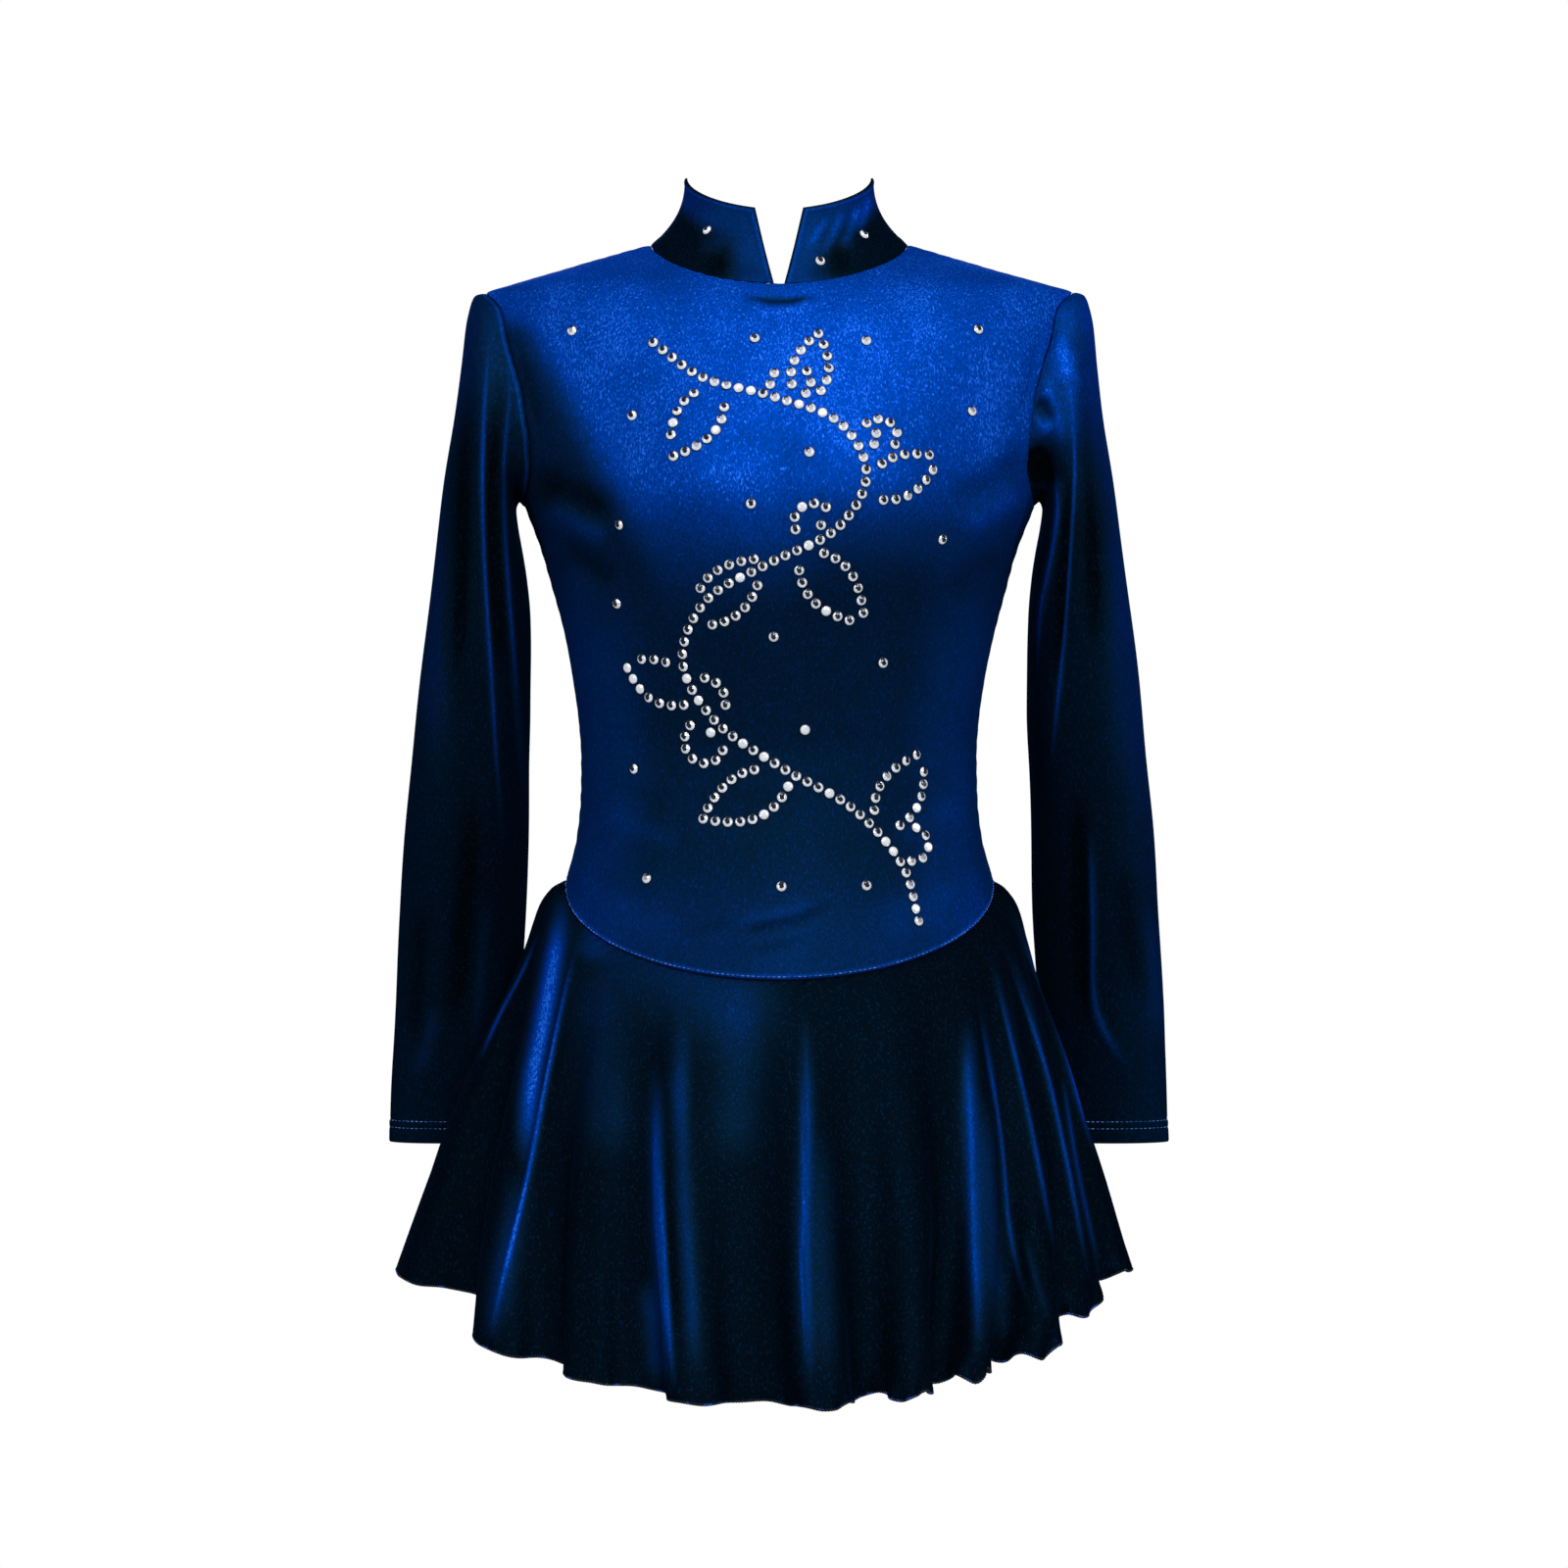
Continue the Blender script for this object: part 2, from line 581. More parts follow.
# Where the nap is brushed up into a brighter streak, or down into a darker one.
STREAKS = {
    ("bodice_front", "front"): [
        # brightness, width, line
        (0.12, 14, [(-60, -436), (-84, -420), (-112, -400)]),
        (0.12, 14, [(60, -430), (88, -412), (112, -394)]),
        (-0.45, 1.8, [(-27, -32), (-8, -33.5), (8, -33.5), (27, -32)]),
        (-0.12, 6, [(-16, -33), (2, -34), (18, -33)]),
        (-0.10, 10, [(-60, -140), (-20, -120), (30, -135), (70, -150)]),
    ],
    ("bodice_back", "back"): [
        (0.14, 16, [(-104, -200), (-92, -280), (-104, -380)]),
        (0.14, 16, [(104, -200), (94, -280), (106, -380)]),
        (-0.14, 12, [(-60, -150), (-10, -134), (50, -154)]),
    ],
    ("sleeve_right", "front"): [
        (0.50, 1.0, [(-172, -40), (-181, -66), (-184, -119), (-184, -185), (-178, -290),
                     (-172, -380)]),
        (0.46, 1.0, [(-170, -64), (-168, -92), (-172, -145), (-169, -210), (-162, -300)]),
        (0.06, 9, [(-206, -120), (-212, -220), (-220, -330)]),
    ],
    ("sleeve_left", "front"): [
        (0.24, 6, [(176, -50), (182, -90), (186, -130)]),
        (0.22, 5, [(163, -104), (165, -112), (164, -120)]),
        (-0.25, 7, [(160, -124), (162, -136), (164, -150)]),
        (0.44, 1.0, [(166, -122), (174, -158), (171, -190), (163, -232), (160, -280)]),
        (0.44, 1.0, [(181, -80), (184, -130), (182, -182), (176, -262), (168, -335)]),
        (0.30, 1.0, [(193, -360), (195, -420), (196, -465), (206, -496), (220, -516)]),
        (0.08, 12, [(206, -90), (216, -190), (224, -300), (232, -420)]),
    ],
    ("collar_left", "front"): [
        (0.30, 2.2, [(18, -2), (24, 8), (30, 18)]),
        (0.34, 2.6, [(26, -6), (34, 8), (40, 24)]),
        (0.38, 2.6, [(38, -2), (45, 10), (50, 28)]),
        (0.34, 2.4, [(48, 6), (53, 18), (56, 34)]),
    ],
    ("collar_right", "front"): [
        (0.10, 7, [(-50, 24), (-40, 8), (-30, 0)]),
    ],
    ("skirt_front", "front"): [
        (1.10, 5.5, [(-134, -396), (-139, -440), (-147, -484), (-155, -524), (-160, -585)]),
        (0.90, 1.1, [(-124, -430), (-134, -470), (-145, -520), (-156, -576), (-169, -633),
                     (-182, -688)]),
        (0.60, 1.1, [(-149, -426), (-160, -453), (-175, -482), (-188, -511)]),
        (0.28, 11, [(-118, -404), (-112, -424), (-122, -450)]),
        (0.28, 7, [(-160, -560), (-172, -640), (-182, -690)]),
        (0.44, 4, [(-77, -505), (-76, -584), (-75, -640), (-70, -712)]),
        (0.50, 1.1, [(-74, -560), (-70, -650), (-65, -716)]),
        (0.28, 6, [(-82, -640), (-78, -680), (-74, -716)]),
        (0.20, 6, [(-61, -470), (-62, -560), (-52, -715)]),
        (0.24, 4.5, [(16, -480), (17, -548), (15, -628), (19, -722)]),
        (0.42, 1.1, [(14, -510), (15, -600), (14, -640), (20, -715)]),
        (0.12, 9, [(24, -540), (28, -640), (30, -716)]),
        (0.40, 4.5, [(118, -474), (119, -540), (122, -628), (125, -698)]),
        (0.22, 6, [(126, -520), (131, -600), (138, -690)]),
        (0.48, 1.1, [(124, -470), (137, -551), (144, -617), (157, -668)]),
        (0.48, 1.1, [(133, -450), (150, -517), (161, -573), (173, -632)]),
        (0.55, 1.1, [(141, -440), (165, -508), (177, -562), (194, -648)]),
        (0.40, 1.1, [(176, -512), (185, -573), (200, -642)]),
        (0.60, 1.1, [(146, -420), (172, -484), (188, -540), (199, -572)]),
        (0.19, 30, [(-128, -420), (-60, -456), (-20, -468), (14, -464)]),
        (0.14, 16, [(-116, -440), (-110, -500), (-106, -580)]),
        (0.12, 14, [(-26, -450), (-24, -510), (-30, -580)]),
    ],
    ("skirt_back", "back"): [
        (0.55, 7, [(152, -410), (160, -480), (176, -580), (190, -650)]),
        (0.32, 7, [(114, -440), (122, -520), (136, -680)]),
        (0.26, 8, [(66, -460), (70, -560), (78, -690)]),
        (0.44, 5.5, [(20, -450), (21, -540), (24, -706)]),
        (0.18, 12, [(-20, -480), (-24, -600), (-28, -704)]),
        (0.46, 6, [(-62, -450), (-70, -540), (-84, -690)]),
        (0.30, 8, [(-108, -430), (-122, -540), (-146, -672)]),
        (0.52, 7, [(-142, -410), (-164, -500), (-196, -644)]),
    ],
}


def as_seen(points, face):
    """Where points show in the plane y = 0, from the eye in front of the dress or behind it."""
    nearer = -points[..., 1] if face == "front" else points[..., 1]
    growth = EYE_DISTANCE / (EYE_DISTANCE - nearer)
    x = EYE_ASIDE + (points[..., 0] - EYE_ASIDE) * growth
    z = EYE_HEIGHT + (points[..., 2] - EYE_HEIGHT) * growth
    return np.stack([x, z], -1)


def line_distance(flat, line):
    """How far each (x, z) point is from a line of such points, and how far along the line its
    nearest place is, from 0 to 1."""
    line = np.array(line, float)
    lengths = np.linalg.norm(np.diff(line, axis=0), axis=1)
    starts = np.concatenate([[0], np.cumsum(lengths)])
    nearest = np.full(flat.shape[:-1], np.inf)
    along = np.zeros(flat.shape[:-1])
    for start, end, length, done in zip(line, line[1:], lengths, starts):
        step = (end - start) / length
        t = np.clip((flat - start) @ step, 0, length)
        away = np.linalg.norm(flat - start - t[..., None] * step, axis=-1)
        closer = away < nearest
        nearest = np.where(closer, away, nearest)
        along = np.where(closer, done + t, along)
    return nearest, along / starts[-1]


def smooth_line(line, steps=6):
    """The line's points joined by a smooth curve."""
    line = np.array(line, float)
    ends = np.vstack([2 * line[0] - line[1], line, 2 * line[-1] - line[-2]])
    made = []
    for a, b, c, d in zip(ends, ends[1:], ends[2:], ends[3:]):
        for t in np.linspace(0, 1, steps, endpoint=False):
            made.append(0.5 * (2 * b + (c - a) * t + (2 * a - 5 * b + 4 * c - d) * t**2
                               + (3 * b - a - 3 * c + d) * t**3))
    return np.array(made + [line[-1]])


def drawn(table, name, points, normals):
    """The sum of a piece's rows in a table of folds or streaks, at each point."""
    total = np.zeros(points.shape[:-1])
    for face, towards in (("front", -normals[..., 1]), ("back", normals[..., 1])):
        seen = as_seen(points, face)
        for amount, width, line in table.get((name, face), ()):
            line = smooth_line(line)
            reach = 3 * width
            inside = (seen > line.min(0) - reach) & (seen < line.max(0) + reach)
            near = inside.all(-1) & (towards > 0)
            distance, along = line_distance(seen[near], line)
            ends = smooth(np.minimum(along, 1 - along), 0, SOFT_ENDS)
            turned_away = smooth(towards[near], 0, SOFT_SIDES)
            total[near] += amount * bump(distance, width) * ends * turned_away
    return total


def brushed(name, base_nap, folds, points, normals):
    """The nap of a piece, with its streaks, brighter on the ridges of its folds and darker in
    their troughs."""
    shading = folds * np.where(folds > 0, RIDGE_GLOW, TROUGH_GLOOM)
    return np.clip(base_nap + shading + drawn(STREAKS, name, points, normals), 0, 1)


# --- Cloth shells ---------------------------------------------------------------------------

EDGE_STEPS = np.array([0, 0.45, 0.9, 1.4, 2.0, 2.8, 3.8, 5.0])


def spaced(length, step, fine_start=True, fine_end=True):
    """Shares from 0 to 1, a step apart and closer where an edge turns in, an even number of them."""
    start = EDGE_STEPS if fine_start else np.array([0.0])
    end = length - (EDGE_STEPS[::-1] if fine_end else np.array([0.0]))
    count = max(1, round((end[0] - start[-1]) / step))
    if (len(start) + len(end) - 2 + count) % 2:
        count += 1
    middle = np.linspace(start[-1], end[0], count + 1)[1:-1]
    return np.concatenate([start, middle, end]) / length


def grid_steps(grid, axis, closed):
    """Central differences along one axis of a grid of points."""
    if closed and axis == 1:
        return (np.roll(grid, -1, 1) - np.roll(grid, 1, 1)) / 2
    return np.gradient(grid, axis=axis)


def grid_normals(grid, closed, middle):
    """Outward unit normals of a grid. middle holds points inside the hollow that it closes round."""
    made = unit(np.cross(grid_steps(grid, 1, closed), grid_steps(grid, 0, closed)))
    if np.sum(made * (grid - middle)) < 0:
        made = -made
    return made


def run_lengths(grid, axis):
    """How far each point is, along the cloth, from the grid's first and last line."""
    steps = np.linalg.norm(np.diff(grid, axis=axis), axis=-1)
    run = np.insert(np.cumsum(steps, axis=axis), 0, 0, axis=axis)
    return run, np.take(run, [-1], axis=axis) - run


def seam_turn(distance, depth=0.6):
    """The cloth beside a seam: a raised band over the seam allowance, turned in at the edge."""
    return 0.22 * smooth(-distance, -8.5, -5.5) - depth * bump(distance, 1.1)


def puckers(run, distance, pitch, height, phase):
    """Small uneven puckers beside a seam."""
    wave = np.sin(run / pitch * 2 * HALF + phase + 1.7 * np.sin(run / 31 + phase))
    uneven = 0.6 + 0.4 * np.sin(run / 23 + 2 * phase)
    return height * wave * uneven * bump(distance, 5.5)


def unevenness(points, height, phase):
    """Slow, shallow unevenness, so that no panel is perfectly regular."""
    x, y, z = np.moveaxis(points, -1, 0)
    return height * (
        np.sin(x / 29 + z / 41 + phase)
        + 0.7 * np.sin(z / 19 - x / 37 + 2 * phase)
        + 0.5 * np.sin(y / 17 + z / 26 + 3 * phase)
    ) / 2.2


def shell_faces(rows, columns, closed):
    """Faces of a closed shell, and how many of them are on its outside or its rims. The inside
    has every second point of the outside."""
    inner_rows = (rows + 1) // 2
    inner_columns = columns // 2 if closed else (columns + 1) // 2
    offset = rows * columns

    def outer(r, c):
        return r * columns + c % columns

    def inner(r, c):
        return offset + (r // 2) * inner_columns + (c // 2) % inner_columns

    r, c = np.meshgrid(np.arange(rows - 1), np.arange(columns - (0 if closed else 1)), indexing="ij")
    outside = np.stack([outer(r, c), outer(r, c + 1), outer(r + 1, c + 1), outer(r + 1, c)], -1)
    r, c = np.meshgrid(
        np.arange(0, rows - 1, 2), np.arange(0, columns - (0 if closed else 1), 2), indexing="ij")
    inside = np.stack([inner(r, c), inner(r + 2, c), inner(r + 2, c + 2), inner(r, c + 2)], -1)

    last_row, last_column = rows - 1, columns - 1
    across = np.arange(0, columns + 1) if closed else np.arange(columns)
    down = np.arange(rows)
    borders = [
        [(0, k) for k in across],
        [(last_row, k) for k in across[::-1]],
    ]
    if not closed:
        borders.append([(k, last_column) for k in down])
        borders.append([(k, 0) for k in down[::-1]])
    rims = []
    for border in borders:
        for i in range(0, len(border) - 2, 2):
            a, b, d = (outer(*p) for p in border[i:i + 3])
            near, far = inner(*border[i]), inner(*border[i + 2])
            rims += [(b, a, near), (b, near, far), (d, b, far)]
    faces = outside.reshape(-1, 4).tolist() + rims
    return faces + inside.reshape(-1, 4).tolist(), len(faces)


def volume(points, faces):
    total = 0
    for size in (3, 4):
        some = np.array([f for f in faces if len(f) == size])
        for k in range(1, size - 1):
            a, b, c = (points[some[:, i]] for i in (0, k, k + 1))
            total += np.sum(a * np.cross(b, c))
    return total


def add_mesh(name, points, faces, materials, face_slots=None, smooth_shading=True):
    mesh = bpy.data.meshes.new(name)
    mesh.from_pydata((points * MM).tolist(), [], faces)
    for material in materials:
        mesh.materials.append(material)
    if face_slots is not None:
        mesh.polygons.foreach_set("material_index", np.asarray(face_slots, np.int32))
    mesh.polygons.foreach_set("use_smooth", np.full(len(faces), smooth_shading))
    made = bpy.data.objects.new(name, mesh)
    bpy.context.scene.collection.objects.link(made)
    return made


def add_floats(made, name, values):
    attribute = made.data.attributes.new(name, "FLOAT", "POINT")
    attribute.data.foreach_set("value", np.asarray(values, np.float32).ravel())


def cloth_shell(name, outer, normals, closed, thickness, nap):
    """The velvet piece on a grid of outer points, with its knitted back on the inside. Returns
    the piece with that grid and its normals."""
    inner = (outer - normals * np.broadcast_to(thickness, outer.shape[:2])[..., None])[::2, ::2]
    points = np.vstack([outer.reshape(-1, 3), inner.reshape(-1, 3)])
    faces, outside = shell_faces(*outer.shape[:2], closed)
    if volume(points, faces) < 0:
        faces = [tuple(reversed(f)) for f in faces]
    slots = np.zeros(len(faces))
    slots[outside:] = 1
    made = add_mesh("velvet_" + name, points, faces, [nap_material, back_material], slots)
    add_floats(made, "nap", np.concatenate([nap.ravel(), nap[::2, ::2].ravel()]))
    return made, outer, normals


# --- Materials ------------------------------------------------------------------------------

# The velvet's colour from where its nap lies away from the light to where it is brushed up.
NAP_PLACES = (0, 0.12, 0.45, 0.8, 1)
NAP_TONES = (
    (0.0008, 0.0034, 0.0064, 1),
    (0.0014, 0.013, 0.035, 1),
    (0.001, 0.034, 0.19, 1),
    (0.0, 0.064, 0.52, 1),
    (0.02, 0.18, 0.92, 1),
)
SHEEN_BLUE = (0.06, 0.32, 0.9, 1)
EDGE_BLUE = (0.02, 0.08, 0.26, 1)

# The velvet's noises: wrinkles a metre, detail, stretch and roughness.
CLOUDS = (26, 3, (1, 1, 0.7))
SPECKLE = (980, 2, (1, 1, 0.5), 0.6)
FLECKS = (860, 1, (1, 1, 0.45))
GRAIN = (1900, 1, (1, 1, 0.6))

# How much brighter a fleck is than the nap round it: a share of that nap, and the least.
FLECK_SHINE = 0.22
FLECK_LEAST = 0.10


def add_node(material, kind, **values):
    made = material.node_tree.nodes.new(kind)
    for key, value in values.items():
        if key in made.inputs:
            made.inputs[key].default_value = value
        else:
            setattr(made, key, value)
    return made


def join(material, start, end):
    material.node_tree.links.new(start, end)


def new_material(name, **principled):
    material = bpy.data.materials.new(name)
    material.use_nodes = True
    shader = material.node_tree.nodes["Principled BSDF"]
    for key, value in principled.items():
        shader.inputs[key.replace("_", " ")].default_value = value
    return material, shader


def object_noise(material, scale, detail, stretch=(1, 1, 1), roughness=0.5):
    """Noise in the object's own space: scale is in wrinkles a metre."""
    place = add_node(material, "ShaderNodeTexCoord")
    turn = add_node(material, "ShaderNodeMapping", Scale=stretch)
    noise = add_node(material, "ShaderNodeTexNoise", Scale=scale, Detail=detail, Roughness=roughness)
    join(material, place.outputs["Object"], turn.inputs["Vector"])
    join(material, turn.outputs["Vector"], noise.inputs["Vector"])
    return noise.outputs["Fac"]


def ranged(material, value, low, high, to_low=0, to_high=1):
    """A value's range from low to high, stretched over another one and cut off at its ends."""
    ends = {"From Min": low, "From Max": high, "To Min": to_low, "To Max": to_high}
    made = add_node(material, "ShaderNodeMapRange", **ends)
    join(material, value, made.inputs["Value"])
    return made.outputs[0]


def maths(material, operation, first, second):
    made = add_node(material, "ShaderNodeMath", operation=operation)
    for i, value in enumerate((first, second)):
        if isinstance(value, (int, float)):
            made.inputs[i].default_value = value
        else:
            join(material, value, made.inputs[i])
    return made.outputs[0]


def two_tones(material, shader, share, dark, bright):
    """Gives a shader a base colour between two tones."""
    colour = add_node(material, "ShaderNodeMix", data_type="RGBA")
    colour.inputs[6].default_value = dark
    colour.inputs[7].default_value = bright
    join(material, share, colour.inputs[0])
    join(material, colour.outputs[2], shader.inputs["Base Color"])


def fine_relief(material, shader, height, strength, distance):
    made = add_node(material, "ShaderNodeBump", Strength=strength, Distance=distance)
    join(material, height, made.inputs["Height"])
    join(material, made.outputs["Normal"], shader.inputs["Normal"])


def velvet():
    """Short-piled stretch velvet: near black where its nap lies away, royal blue where it is
    brushed towards the light, with a fine speckle, soft clouds and a blue sheen at its edges."""
    material, shader = new_material(
        "velvet", Metallic=0.55, Roughness=0.58, Sheen_Weight=0.025, Sheen_Roughness=0.4,
        Sheen_Tint=SHEEN_BLUE, Specular_IOR_Level=0.0, Specular_Tint=EDGE_BLUE)
    nap = add_node(material, "ShaderNodeAttribute", attribute_name="nap").outputs["Fac"]
    speckle = object_noise(material, *SPECKLE)
    cloud = ranged(material, object_noise(material, *CLOUDS), 0.3, 0.7, 0.78, 0.98)
    mottle = ranged(material, speckle, 0.32, 0.68, 0.74, 1.2)
    fleck = ranged(material, object_noise(material, *FLECKS), 0.56, 0.72)
    share = maths(material, "MULTIPLY", maths(material, "MULTIPLY", nap, cloud), mottle)
    shine = maths(material, "MULTIPLY", share, FLECK_SHINE)
    shine = maths(material, "ADD", shine, FLECK_LEAST)
    share = maths(material, "ADD", share, maths(material, "MULTIPLY", fleck, shine))
    colour = add_node(material, "ShaderNodeValToRGB")
    ramp = colour.color_ramp.elements
    for place, tone in zip(NAP_PLACES[1:-1], NAP_TONES[1:-1]):
        ramp.new(place).color = tone
    ramp[0].color = NAP_TONES[0]
    ramp[len(NAP_TONES) - 1].color = NAP_TONES[-1]
    join(material, share, colour.inputs["Fac"])
    join(material, colour.outputs["Color"], shader.inputs["Base Color"])
    height = maths(material, "ADD", speckle, object_noise(material, *GRAIN))
    fine_relief(material, shader, height, 0.22, 0.0004)
    return material


def velvet_back():
    """The matt knitted back of the velvet."""
    material, shader = new_material(
        "velvet_back", Roughness=0.85, Sheen_Weight=0.15, Sheen_Tint=(0.1, 0.3, 0.5, 1),
        Specular_IOR_Level=0.2)
    mottle = object_noise(material, 420, 3, (1, 1, 0.5))
    two_tones(material, shader, mottle, (0.0012, 0.005, 0.012, 1), (0.004, 0.022, 0.05, 1))
    place = add_node(material, "ShaderNodeTexCoord")
    knit = add_node(material, "ShaderNodeTexWave", Scale=180, Distortion=1.5, Detail=1)
    join(material, place.outputs["Object"], knit.inputs["Vector"])
    fine_relief(material, shader, knit.outputs["Fac"], 0.3, 0.0003)
    return material


def thread(name, dark, bright, low, high):
    """Sewing thread that shines here and there: the larger low and high, the more rarely."""
    material, shader = new_material(name, Roughness=0.5, Specular_IOR_Level=0.3)
    worn = ranged(material, object_noise(material, 170, 2), low, high)
    two_tones(material, shader, worn, dark, bright)
    fine_relief(material, shader, object_noise(material, 2400, 1), 0.4, 0.0002)
    return material


def crystal(name, dull, bright, metallic, glow):
    """Foil-backed rhinestone glass: its bright cuts, or the dark ones. The glow stands for the
    light that the foil throws back through the glass."""
    material, shader = new_material(
        name, Metallic=metallic, Roughness=0.14, Coat_Weight=1.0, Coat_Roughness=0.03,
        Emission_Color=(0.86, 0.92, 1, 1), Emission_Strength=glow)
    two_tones(material, shader, object_noise(material, 300, 1), dull, bright)
    return material


def foil_edge():
    """The dark edge of the foil round each rhinestone's foot."""
    material, shader = new_material("foil_edge", Metallic=0.6, Roughness=0.4)
    tint = object_noise(material, 900, 1)
    two_tones(material, shader, tint, (0.004, 0.006, 0.012, 1), (0.02, 0.025, 0.04, 1))
    return material


nap_material = velvet()
back_material = velvet_back()
seam_thread = thread("thread", (0.02, 0.09, 0.36, 1), (0.16, 0.36, 0.9, 1), 0.4, 0.6)
hem_thread = thread("thread_hem", (0.0008, 0.003, 0.01, 1), (0.01, 0.09, 0.5, 1), 0.54, 0.68)
crystal_material = crystal("crystal", (0.55, 0.6, 0.7, 1), (0.98, 0.98, 0.99, 1), 0.4, 0.4)
table_material = crystal("crystal_dark", (0.006, 0.01, 0.02, 1), (0.05, 0.07, 0.11, 1), 0.5, 0.0)
foil_material = foil_edge()


# --- The cut pieces -------------------------------------------------------------------------

# Each direction of a mesh: its length along the cloth and the step between its lines.
BODICE_SIDE = (232, 2.3)
BODICE_YOKE = (106, 2.5)
BODICE_WIDTH = (415, 2.0)
ARMHOLE_ROWS = 70
SLEEVE_LENGTH = (575, 2.4)
SLEEVE_COLUMNS = {"front": 120, "back": 70}
COLLAR_HEIGHT = (52, 1.3)
COLLAR_WIDTH = (170, 1.7)
SKIRT_LENGTH = (245, 2.7)
SKIRT_WIDTH = {"skirt_front": (720, 1.35), "skirt_back": (720, 1.6)}

# The nap before its streaks, from 0 where it is turned from the light to 1. Each place's share
# comes on top of the one that its piece has all over.
BODICE_NAP = {"all": 0.17, "chest": 0.67, "sides": 0.34, "hem": 0.12, "waist_edge": 0.4}
SLEEVE_NAP = {
    "sleeve_left": {"all": 0.07, "head": 0.40, "outer_side": 0.10, "seam": 0.0},
    "sleeve_right": {"all": 0.07, "head": 0.14, "outer_side": 0.03, "seam": 0.42},
}
COLLAR_NAP = {"all": 0.42, "shade": -0.38, "edge": 0.28, "rim": -0.4}
SKIRT_NAP = 0.02

# How far the cuff's two rows of stitches lie from its edge and how deep they pull in, and how
# far its doubled hem stands out and where that ends.
CUFF_STITCHES = (9.8, 14.4)
CUFF_GROOVE = 0.45
CUFF_HEM = 0.45
CUFF_HEM_ENDS = (-15.5, -13.5)

# How high the skirt's hem curls, how far up that reaches, and how far from its side seams the
# cloth turns smoothly from one panel into the other.
HEM_CURL = 1.9
HEM_CURL_REACH = 9
SIDE_BLEND = 7


def chest_nap(points, face):
    """How far the nap is brushed up on the bodice: bright across the chest and shoulders down
    to below the bust, dark beside the right armhole, and half bright along both sides."""
    x, z = np.moveaxis(as_seen(points, face), -1, 0)
    if face == "back":
        x = -x
    lower = -172 + 9 * np.sin(x / 34) + 0.0009 * x**2
    chest = smooth(z, lower - 62, lower + 36)
    past_shadow = 0.9 * (x + 163) + 0.44 * (z + 47)
    shadow = 0.94 * (1 - smooth(past_shadow, -8, 18)) * smooth(-z, 38, 60)
    chest = chest * (1 - shadow)
    edge = np.abs(points[..., 0]) / TORSO("half_width", points[..., 2])
    sides = BODICE_NAP["sides"] * smooth(edge, 0.55, 0.95) * smooth(-z, 150, 260)
    hem = BODICE_NAP["hem"] * smooth(-z, 375, 435)
    return BODICE_NAP["all"] + BODICE_NAP["chest"] * chest + (sides + hem) * (1 - chest)


def bodice_rows():
    """The rows of a bodice's mesh, an odd number: their heights at its edge, and further in."""
    low = mix(WAIST_SIDE, ARMPIT, spaced(*BODICE_SIDE, fine_end=False))
    turns = np.linspace(HALF, 0, ARMHOLE_ROWS + 1)[1:]
    top_share = spaced(*BODICE_YOKE, fine_start=False)[1:]
    if (len(low) + len(turns) + len(top_share)) % 2 == 0:
        low = np.delete(low, 40)
    low_share = (low - WAIST_SIDE) / (ARMPIT - WAIST_SIDE)
    edge = np.concatenate([low, armhole_height(turns), mix(SHOULDER_TIP, 0, top_share)])
    inner = np.concatenate([
        mix(WAIST_SIDE, ROW_FROM_ARMPIT, low_share),
        mix(ROW_FROM_ARMPIT, ROW_FROM_TIP, 1 - turns / HALF),
        mix(ROW_FROM_TIP, 0, top_share),
    ])
    return edge, inner


def bodice(facing):
    is_front = facing > 0
    name = "bodice_front" if is_front else "bodice_back"
    edge, inner = bodice_rows()
    across = 2 * spaced(*BODICE_WIDTH) - 1
    edge_side, column = np.meshgrid(edge, across, indexing="ij")
    inner_side = np.broadcast_to(inner[:, None], edge_side.shape)
    around, height = bodice_around(facing, column, edge_side, inner_side)
    base = torso_point(around, height) - [0, facing * SEAM_GAP / 2, 0]
    normals = torso_outward(around, height)
    to_waist, to_neck = run_lengths(base, 0)
    to_first, to_last = run_lengths(base, 1)
    to_side = np.minimum(to_first, to_last)
    folds = drawn(FOLDS, name, base, normals)
    relief = (
        seam_turn(to_waist, 0.3) + seam_turn(to_neck, 0.3) + seam_turn(to_side)
        + 0.35 * bump(to_waist - 1.6, 0.8)
        + puckers(to_first, to_waist, 8.5, 0.3, 0.4)
        + puckers(to_first, to_neck, 9.5, 0.22, 1.9)
        + puckers(to_waist, to_side, 10.5, 0.26, 2.6)
        + folds
        + unevenness(base, 0.7, 0.5 if is_front else 2.2)
    )
    outer = base + normals * relief[..., None]
    nap = chest_nap(base, "front" if is_front else "back")
    nap = nap + BODICE_NAP["waist_edge"] * bump(to_waist - 1.2, 1.4)
    nap = brushed(name, nap, folds, base, normals)
    return cloth_shell(name, outer, normals, False, CLOTH, nap)


